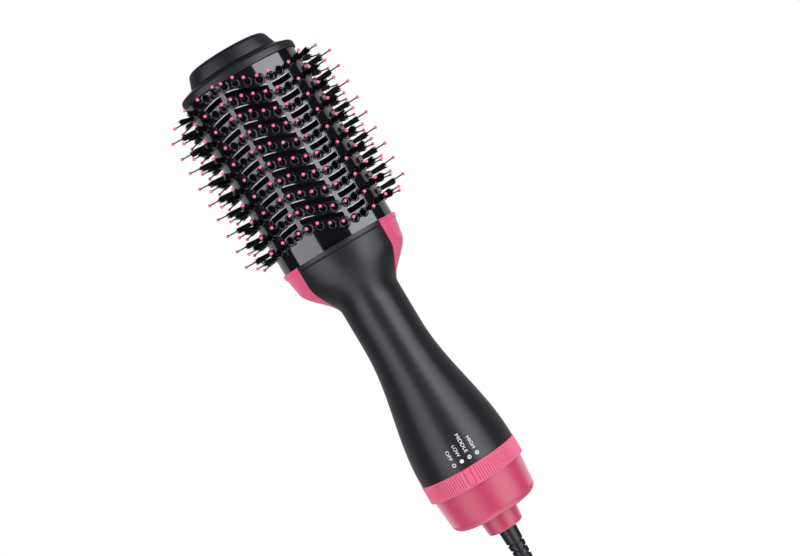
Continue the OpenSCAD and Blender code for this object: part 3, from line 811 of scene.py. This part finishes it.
def highlight_bead(x0, x1, z0, face):
    """A thin tube on the barrel's surface, pointed at both ends, which follows the wave."""
    sides = 8
    x = np.linspace(x0, x1, BEAD_POINTS)
    t = np.arcsin(x / BARREL_A)
    centre = np.stack([x, face * BARREL_B * np.cos(t), z0 + wave(x_to_s(x))], -1)
    out = np.stack([np.sin(t) / BARREL_A, face * np.cos(t) / BARREL_B, 0 * t], -1)
    out /= np.linalg.norm(out, axis=1)[:, None]
    up = np.array([0.0, 0.0, 1.0])
    u = np.linspace(0, 1, BEAD_POINTS)
    r = BEAD_R * np.sqrt(np.clip(1 - np.abs(2 * u - 1) ** 3, 0.02, 1))
    rows = []
    for a in np.linspace(0, 2 * PI, sides, endpoint=False):
        rows.append(centre + r[:, None] * (math.cos(a) * out + math.sin(a) * up))
    verts = np.stack(rows, 1).reshape(-1, 3)
    return verts, grid_quads(BEAD_POINTS, sides, True)


def boundary_walls(keep, rows, cols, base):
    """Faces through the wall's thickness round every opening, and at the two ends."""
    walls = []
    for r in range(rows):
        for c in range(cols):
            below = keep[r - 1][c] if r > 0 else False
            above = keep[r][c] if r < rows - 1 else False
            if below != above:
                p, q = r * cols + c, r * cols + (c + 1) % cols
                walls.append((p, q, q + base, p + base))
    for r in range(rows - 1):
        for c in range(cols):
            if keep[r][c] != keep[r][c - 1]:
                p, q = r * cols + c, (r + 1) * cols + c
                walls.append((p, q, q + base, p + base))
    return walls


# -------------------- sockets, pins and bristles

def place_frames():
    """Every place as (row, number from the centre, side, face, foot, direction)."""
    step = QUARTER / (PLACES - 0.5)
    out = []
    for i in range(ROW_COUNT):
        for k in range(PLACES):
            for side in (-1, 1):
                for face in (-1, 1):
                    last = k == PLACES - 1
                    if last and (face > 0 or i == ROW_COUNT - 1):
                        continue
                    s = (k + 0.5) * step
                    t = float(s_to_t(s))
                    fan = PI / 2 * (s / QUARTER) ** FAN_POWER
                    rise = SIDE_RISE if last else float(wave(side * s))
                    foot = np.array([side * BARREL_A * math.sin(t), face * BARREL_B * math.cos(t),
                                     ROW_Z0 + i * ROW_PITCH + rise])
                    if last:
                        foot[1] = 0.0
                    ahead = np.array([side * math.sin(fan), face * math.cos(fan), 0.0])
                    out.append((i, k, side, face, foot, ahead))
    return out


def basis(direction):
    """Two directions across a given one."""
    up = np.array([0.0, 0.0, 1.0])
    across = np.cross(up, direction)
    across /= np.linalg.norm(across)
    return across, np.cross(direction, across)


def along(foot, direction, profile, segments):
    """A turned profile of (radius, distance) pairs standing on foot along direction."""
    u, v = basis(direction)
    a = np.linspace(0, 2 * PI, segments, endpoint=False)
    ring = np.cos(a)[:, None] * u + np.sin(a)[:, None] * v
    verts = np.concatenate([foot + d * direction + r * ring for r, d in profile])
    return verts, grid_quads(len(profile), segments, True)


def socket_profile(r, skirt):
    """A socket's section: a skirt that flows into the barrel, a rounded lip and a blind bore."""
    return [(r + skirt, -0.5), (r + 0.9 * skirt, 0.02), (r + 0.53 * skirt, 0.17), (r + 0.17 * skirt, 0.45),
            (r, 0.85), (r, SOCKET_H - SOCKET_LIP),
            (r - 0.12, SOCKET_H - 0.12), (r - SOCKET_LIP, SOCKET_H), (SOCKET_BORE + 0.25, SOCKET_H),
            (SOCKET_BORE + 0.05, SOCKET_H - 0.1), (SOCKET_BORE - 0.05, SOCKET_H - 0.35),
            (SOCKET_BORE - 0.15, 0.2), (0.0, 0.12)]


def build_sockets(materials, places):
    """The raised cups that the pins and tufts stand in."""
    parts = []
    for _, k, _, _, foot, ahead in places:
        parts.append(along(foot, ahead, socket_profile(SOCKET_R[k], SOCKET_SKIRT[k]), 24))
    verts, faces = stack(parts)
    make_object("socket_cups", verts, faces, "handle", materials["gloss_black"],
                ("pin_sockets",))


def pin_way(ahead, side, k, rng):
    """A pin's direction: each column has its own lean, and no two pins are quite alike."""
    lean = ahead + np.array([LEAN_X[side][k], 0.0, LEAN_UP[side][k]])
    lean = lean + np.array([rng.uniform(-PIN_JITTER, PIN_JITTER) for _ in range(3)])
    return lean / np.linalg.norm(lean)


def build_pins(materials, places):
    """Tapered nylon pins and their ball tips."""
    rng = random.Random(11)
    stems, balls = [], []
    stem = [(0.62, -0.4), (0.60, 1.4), (0.50, 5.0), (0.43, 11.0), (PIN_TIP_R, PIN_LEN - 1.0),
            (PIN_TIP_R, PIN_LEN)]
    ball = [(BALL_R * math.sin(p), PIN_LEN - BALL_R * math.cos(p)) for p in np.linspace(0, PI, 11)]
    for _, k, side, _, foot, ahead in places:
        if k == NO_PIN_PLACE:
            continue
        way = pin_way(ahead, side, k, rng)
        stems.append(along(foot, way, stem, 10))
        balls.append(along(foot, way, ball, 16))
    verts, faces = stack(stems)
    make_object("nylon_pins", verts, faces, "handle", materials["nylon_black"],
                ("bristle_pins",))
    verts, faces = stack(balls)
    make_object("ball_tips", verts, faces, "handle", materials["pink_gloss"],
                ("pin_tips",))


def bristle(root, tip, bend, r0, r1):
    """One bristle: a thin three-sided rod through four points."""
    stops = [0.0, 0.4, 0.75, 1.0]
    way = tip - root
    u, v = basis(way / np.linalg.norm(way))
    verts = []
    for q in stops:
        centre = root + way * q + bend * (q * q)
        r = r0 + (r1 - r0) * q
        for a in (0.0, 2 * PI / 3, 4 * PI / 3):
            verts.append(centre + r * (math.cos(a) * u + math.sin(a) * v))
    return np.array(verts), grid_quads(4, 3, True)


def tuft_parts(foot, ahead, rng):
    """The bristles of one tuft, which fan out a little and end unevenly."""
    u, v = basis(ahead)
    parts = []
    for n in range(TUFT_BRISTLES):
        r = TUFT_R * math.sqrt((n + 0.5) / TUFT_BRISTLES)
        a = n * GOLDEN_ANGLE + rng.uniform(-0.2, 0.2)
        out = math.cos(a) * u + math.sin(a) * v
        root = foot + ahead * 0.15 + out * r
        reach = TUFT_LEN * rng.uniform(0.86, 1.06) - 0.5 * (r / TUFT_R) ** 2
        spread = TUFT_SPREAD * (r / TUFT_R) + rng.uniform(-0.25, 0.25)
        tip = foot + ahead * reach + out * spread
        tip = tip + np.array([rng.uniform(-0.25, 0.25) for _ in range(3)])
        bend = np.array([rng.uniform(-0.3, 0.3) for _ in range(3)])
        parts.append(bristle(root, tip, bend, *BRISTLE_R))
    return parts


def build_tufts(materials, places):
    """One piece for each row of tufts."""
    rng = random.Random(23)
    rows = {}
    for i, k, _, _, foot, ahead in places:
        if k >= FIRST_TUFT_PLACE:
            rows.setdefault(i, []).extend(tuft_parts(foot, ahead, rng))
    for i, parts in rows.items():
        verts, faces = stack(parts)
        make_object("tufts_row_%02d" % i, verts, faces, "handle", materials["bristle_black"],
                    ("bristle_tufts",))


# -------------------- tip

def build_tip(materials):
    """The oval ring with the skirt that sits in the barrel, and the cap."""
    squash = BARREL_B / BARREL_A
    low = FLANGE_Z + TIP_GAP
    hole_a, plug_a = PLUG_A
    ring = fillet([(0.0, low, 0), (RING_A, low, 0.7), (RING_A, low + RING_UPRIGHT, 1.8),
                   (CAP_A + 0.4, CAP_Z, 0.8), (hole_a, CAP_Z, 0.3), (hole_a, CAP_Z - PLUG_H, 0.2),
                   (0.0, CAP_Z - PLUG_H, 0)], 0.4, 6)
    skirt_a = BARREL_A - BARREL_WALL - TIP_GAP
    skirt_b = BARREL_B - BARREL_WALL - TIP_GAP
    skirt_in = skirt_a - SKIRT_WALL
    skirt_z = (low - SKIRT_DROP, low + 0.5)
    skirt = [(skirt_in, skirt_z[0]), (skirt_a, skirt_z[0]), (skirt_a, skirt_z[1]), (skirt_in, skirt_z[1])]
    verts, faces = stack([lathe(ring, 160, squash), lathe(skirt, 160, skirt_b / skirt_a)])
    make_object("tip_ring_skin", verts, drop_flat(verts, faces), "handle", materials["cap_black"],
                ("tip_ring",), 42)
    plug_z = CAP_Z - PLUG_H + 0.2
    plug_in = plug_a - 2.2
    cap = fillet([(0.0, TIP_Z, 0), (CAP_TOP_A, TIP_Z - 0.05, 3.0), (CAP_A, CAP_Z + 0.05, 0.3),
                  (plug_a, CAP_Z + 0.05, 0.2), (plug_a, plug_z, 0.2), (plug_in, plug_z, 0.2),
                  (plug_in, TIP_Z - CAP_WALL, 0.2), (0.0, TIP_Z - CAP_WALL, 0)], 0.4, 7)
    turned_piece("tip_cap_skin", cap, "handle", materials["cap_black"], ("tip_cap",),
                 squash, 160)


# -------------------- dial ring

def rib_depth_at(arc_deg):
    """Depth of the grip grooves at an angle from the mark, 0 on top of a rib."""
    pitch = 360.0 / RIBS
    phase = np.abs((arc_deg / pitch) % 1.0 - 0.5) * 2
    return RIB_DEPTH * smooth((phase - 0.25) / 0.6)


def mark_height(x, z, z_low):
    """The raised bar and the U-shaped groove round it. x and z are mm from the bar's centre line."""
    dx = np.abs(x) - (MARK_HALF_W - MARK_CORNER)
    dz = (z_low + MARK_CORNER) - z
    corner = np.hypot(np.maximum(dx, 0), np.maximum(dz, 0)) - MARK_CORNER
    outside = corner + np.minimum(np.maximum(dx, dz), 0)
    groove = MARK_GROOVE * smooth((outside + 0.15) / 0.25) * (1 - smooth((outside - 0.45) / 0.35))
    bar = MARK_PROUD * (1 - smooth((outside + 0.45) / 0.45))
    return bar - groove


def build_dial(materials):
    """The ring's outside as rows of points, with ribs all round but for the mark, and a plain bore."""
    coarse = np.arange(PLAIN_DEG, 360 - PLAIN_DEG + 0.001, 0.3)
    fine = np.arange(-PLAIN_DEG, PLAIN_DEG, 0.22)
    deg = np.concatenate([fine, coarse])
    from_mark = (deg + 180) % 360 - 180
    by_mark = np.abs(from_mark) < PLAIN_DEG
    a = np.radians(deg) + math.radians(MARK_DEG)
    edge = DIAL_EDGE
    zs = np.concatenate([DIAL_Z0 + edge * (1 - np.cos(np.linspace(0, PI / 2, 4))),
                         np.linspace(DIAL_Z0 + edge, DIAL_Z1 - edge, 26)[1:-1],
                         DIAL_Z1 - edge * (1 - np.cos(np.linspace(PI / 2, 0, 4)))])
    rows = []
    for z in zs:
        near = min(z - DIAL_Z0, DIAL_Z1 - z)
        drop = edge - math.sqrt(max(0.0, edge ** 2 - max(0.0, edge - near) ** 2))
        fade = float(smooth((near - 0.1) / 0.5))
        grooves = np.where(by_mark, 0.0, rib_depth_at(deg)) * fade
        mark = mark_height(np.radians(from_mark) * DIAL_R, z, DIAL_Z0 + MARK_RISE)
        raised = np.where(by_mark, mark, 0.0)
        r = DIAL_R - drop - grooves + np.minimum(raised, raised * fade)
        rows.append(np.stack([r * np.sin(a), -r * np.cos(a), np.full_like(a, z)], -1))
    for z in (DIAL_Z1, DIAL_Z0):
        rows.append(np.stack([DIAL_BORE_R * np.sin(a), -DIAL_BORE_R * np.cos(a), np.full_like(a, z)], -1))
    rows.append(rows[0])
    verts = np.concatenate(rows)
    parts = [(verts, grid_quads(len(rows), len(deg), True)), block(*LUG)]
    verts, faces = stack(parts)
    make_object("dial_ring_skin", verts, faces, "dial", materials["pink_dial"],
                ("dial_ring",), 50)


def block(low, high):
    """A box between two corners, for the dial's inward lug, which moves the switch lever."""
    x0, y0, z0 = low
    x1, y1, z1 = high
    verts = np.array([(x, y, z) for z in (z0, z1) for y in (y0, y1) for x in (x0, x1)], float)
    faces = [(0, 2, 3, 1), (4, 5, 7, 6), (0, 1, 5, 4), (2, 6, 7, 3), (0, 4, 6, 2), (1, 3, 7, 5)]
    return verts, faces


# -------------------- cord end

def build_boot(materials):
    """Boot, hub with a groove for the retaining clip, and the post that carries the contact rings."""
    top = CUP_Z - 0.15
    groove_z = (HUB_Z + 0.1, HUB_Z + 1.7)
    hub_top = HUB_Z + 3
    post_top = HUB_Z + POST_H
    relief_bore = RELIEF_R + 0.05
    profile = fillet([
        (relief_bore, BOOT_Z, 0.5), (BOOT_R - 1.0, BOOT_Z, 1.7), (BOOT_R, top, 0.25), (HUB_R, top, 0.1),
        (HUB_R, groove_z[0], 0.05), (HUB_GROOVE_R, groove_z[0], 0.05), (HUB_GROOVE_R, groove_z[1], 0.05),
        (HUB_R, groove_z[1], 0.05), (HUB_R, hub_top, 0.2), (POST_R, hub_top, 0.2), (POST_R, post_top, 0.3),
        (0.0, post_top, 0), (0.0, CUP_Z, 0), (CORD_BORE_R, CUP_Z, 0), (CORD_BORE_R, CUP_Z - 4, 0),
        (relief_bore, CUP_Z - 4, 0)], 0.2, 5)
    turned_piece("cord_boot_skin", profile, "cord", materials["pink_satin"], ("cord_boot",))


def build_relief(materials):
    """Tapered rubber sleeve: smooth below the boot, then ring grooves."""
    bore = CORD_BORE_R - 0.01
    pitch = (BOOT_Z - RELIEF_SMOOTH - RELIEF_Z) / RELIEF_GROOVES

    def radius(z):
        return RELIEF_R - RELIEF_TAPER * max(0.0, (BOOT_Z - z) / (BOOT_Z - RELIEF_Z))

    line = [(bore, RELIEF_Z, 0.1), (radius(RELIEF_Z), RELIEF_Z, 0.5)]
    for i in range(1, RELIEF_GROOVES + 1):
        z = RELIEF_Z + i * pitch
        r = radius(z)
        line += [(r, z - 2, 0.35), (r - 1.0, z - 2, 0.3), (r - 1.0, z - 0.8, 0.3), (r, z - 0.8, 0.35)]
    line += [(RELIEF_R, BOOT_Z, 0.1), (RELIEF_R, BOOT_Z + 7, 0.3), (bore, BOOT_Z + 7, 0.1)]
    turned_piece("strain_relief_skin", fillet(line, 0.3, 4), "cord", materials["rubber_black"],
                 ("strain_relief",), segments=72)


def build_cord(materials):
    line = [(0.0, 0.0, 0), (CORD_R, 0.0, 0.3), (CORD_R, RELIEF_Z - 0.15, 0.2), (3.0, RELIEF_Z - 0.15, 0.05),
            (3.0, CUP_Z - 1, 0.2), (0.0, CUP_Z - 1, 0)]
    turned_piece("cord_skin", fillet(line, 0.2, 4), "cord", materials["rubber_black"],
                 ("power_cord",), segments=64)


# -------------------- stage, lights and camera

# metres and watts from here on
LIGHT_TARGET = Vector((0, 0, 0.15))
LIGHT_DISTANCE = 0.90
LIGHT_COLOUR = (0.96, 0.94, 1.0)
FILL_STRENGTH = 0.27
REAR_GLOSS = 0.5
BELOW_GLOSS = 2.5
FLOOR_R = 0.45
FLOOR_FADE = (0.10, 0.42)
FLOOR_DROP = 0.003
FLOOR_GLOW = 0.60
CAMERA_PLACE = (0.0206, -0.928, 0.2156)
CAMERA_ROLL = 30.7
CAMERA_LENS = 72.0


def area_light(name, azimuth, width, height, power):
    """A soft box facing the target at its height. Azimuth 0 is in front and turns to the viewer's right."""
    az = math.radians(azimuth)
    out = Vector((math.sin(az), -math.cos(az), 0.0))
    light = bpy.data.lights.new(name, "AREA")
    light.shape = "RECTANGLE"
    light.size = width
    light.size_y = height
    light.energy = power
    light.color = LIGHT_COLOUR
    obj = bpy.data.objects.new(name, light)
    obj.location = LIGHT_TARGET + out * LIGHT_DISTANCE
    obj.rotation_euler = out.to_track_quat("Z", "Y").to_euler()
    obj.visible_camera = False
    bpy.context.scene.collection.objects.link(obj)
    return obj


def build_lights():
    """Two soft boxes in front, and two lights that don't show in reflections."""
    area_light("soft_left", -45.3, 0.77, 2.0, 9.4)
    area_light("soft_right", 47.7, 0.87, 2.0, 16.3)
    side = area_light("side_left", -100, 0.9, 1.4, 5.0)
    side.visible_glossy = False
    rear = area_light("soft_rear", 180, 1.0, 1.6, 11.0)
    rear.visible_glossy = False


def build_world():
    """White to the camera, an even fill, and dark in reflections except from behind and from below."""
    world = bpy.data.worlds.new("studio")
    bpy.context.scene.world = world
    world.use_nodes = True
    nodes, links = world.node_tree.nodes, world.node_tree.links
    back = nodes["Background"]
    path = nodes.new("ShaderNodeLightPath")
    coords = nodes.new("ShaderNodeTexCoord")
    split = nodes.new("ShaderNodeSeparateXYZ")
    links.new(coords.outputs["Generated"], split.inputs["Vector"])
    rear = map_value(nodes, links, split.outputs["Y"], 0.015, REAR_GLOSS, 0.26, 0.30)
    below = map_value(nodes, links, split.outputs["Z"], BELOW_GLOSS, 0.0, -0.92, -0.72)
    both = math_node(nodes, links, "MAXIMUM", rear, below)
    fill = nodes.new("ShaderNodeMix")
    fill.inputs[2].default_value = FILL_STRENGTH
    links.new(path.outputs["Is Glossy Ray"], fill.inputs[0])
    links.new(both.outputs[0], fill.inputs[3])
    seen = nodes.new("ShaderNodeMix")
    seen.inputs[3].default_value = 1.0
    links.new(path.outputs["Is Camera Ray"], seen.inputs[0])
    links.new(fill.outputs[0], seen.inputs[2])
    links.new(seen.outputs[0], back.inputs["Strength"])
    back.inputs["Color"].default_value = (1, 1, 1, 1)


def build_floor():
    """Pale round floor just under the cord's end, which fades out before a horizon and shows no underside."""
    mat, nodes, links = new_material("pale_floor")
    bsdf = nodes["Principled BSDF"]
    bsdf.inputs["Base Color"].default_value = (0.93, 0.93, 0.93, 1)
    bsdf.inputs["Roughness"].default_value = 0.9
    bsdf.inputs["Specular IOR Level"].default_value = 0.0
    bsdf.inputs["Emission Color"].default_value = (1, 1, 1, 1)
    bsdf.inputs["Emission Strength"].default_value = FLOOR_GLOW
    coords = nodes.new("ShaderNodeTexCoord")
    length = vector_node(nodes, links, "LENGTH", coords.outputs["Object"])
    fade = map_value(nodes, links, length.outputs["Value"], 1.0, 0.0, *FLOOR_FADE)
    underside = nodes.new("ShaderNodeNewGeometry").outputs["Backfacing"]
    seen = math_node(nodes, links, "SUBTRACT", fade, underside)
    seen.use_clamp = True
    links.new(seen.outputs[0], bsdf.inputs["Alpha"])
    angles = np.linspace(0, 2 * PI, 64, endpoint=False)
    ring = [(FLOOR_R * math.cos(a), FLOOR_R * math.sin(a), 0.0) for a in angles]
    mesh = bpy.data.meshes.new("floor")
    mesh.from_pydata(ring, [], [tuple(range(len(ring)))])
    mesh.materials.append(mat)
    floor = bpy.data.objects.new("floor", mesh)
    floor.location = (0, 0, -FLOOR_DROP)
    floor.visible_glossy = False
    floor.visible_diffuse = False
    floor.visible_shadow = False
    bpy.context.scene.collection.objects.link(floor)


def build_camera():
    """Straight at the brush's front, rolled so that its tip leans to the upper left."""
    roll = math.radians(CAMERA_ROLL)
    right = Vector((math.cos(roll), 0, -math.sin(roll)))
    up = Vector((math.sin(roll), 0, math.cos(roll)))
    back = Vector((0, -1, 0))
    cam = bpy.data.cameras.new("camera")
    cam.sensor_width = 36
    cam.lens = CAMERA_LENS
    cam.clip_start = 0.02
    cam.clip_end = 20
    obj = bpy.data.objects.new("camera", cam)
    place = Matrix((right, up, back)).transposed().to_4x4()
    place.translation = Vector(CAMERA_PLACE)
    obj.matrix_world = place
    bpy.context.scene.collection.objects.link(obj)
    bpy.context.scene.camera = obj


# -------------------- assembly

def build_all():
    materials = build_materials()
    paint_cad_nodes(materials)
    build_handle_shell("handle_front_shell_skin", 1, materials)
    build_handle_shell("handle_back_shell_skin", -1, materials)
    build_wing("neck_wing_left_skin", -1, materials)
    build_wing("neck_wing_right_skin", 1, materials)
    build_setting_marks(materials)
    build_barrel(materials)
    build_slot_beads(materials)
    places = place_frames()
    build_sockets(materials, places)
    build_pins(materials, places)
    build_tufts(materials, places)
    build_tip(materials)
    build_dial(materials)
    build_boot(materials)
    build_relief(materials)
    build_cord(materials)
    build_world()
    build_lights()
    build_floor()
    build_camera()
    bpy.context.scene.view_settings.view_transform = "Standard"


build_all()
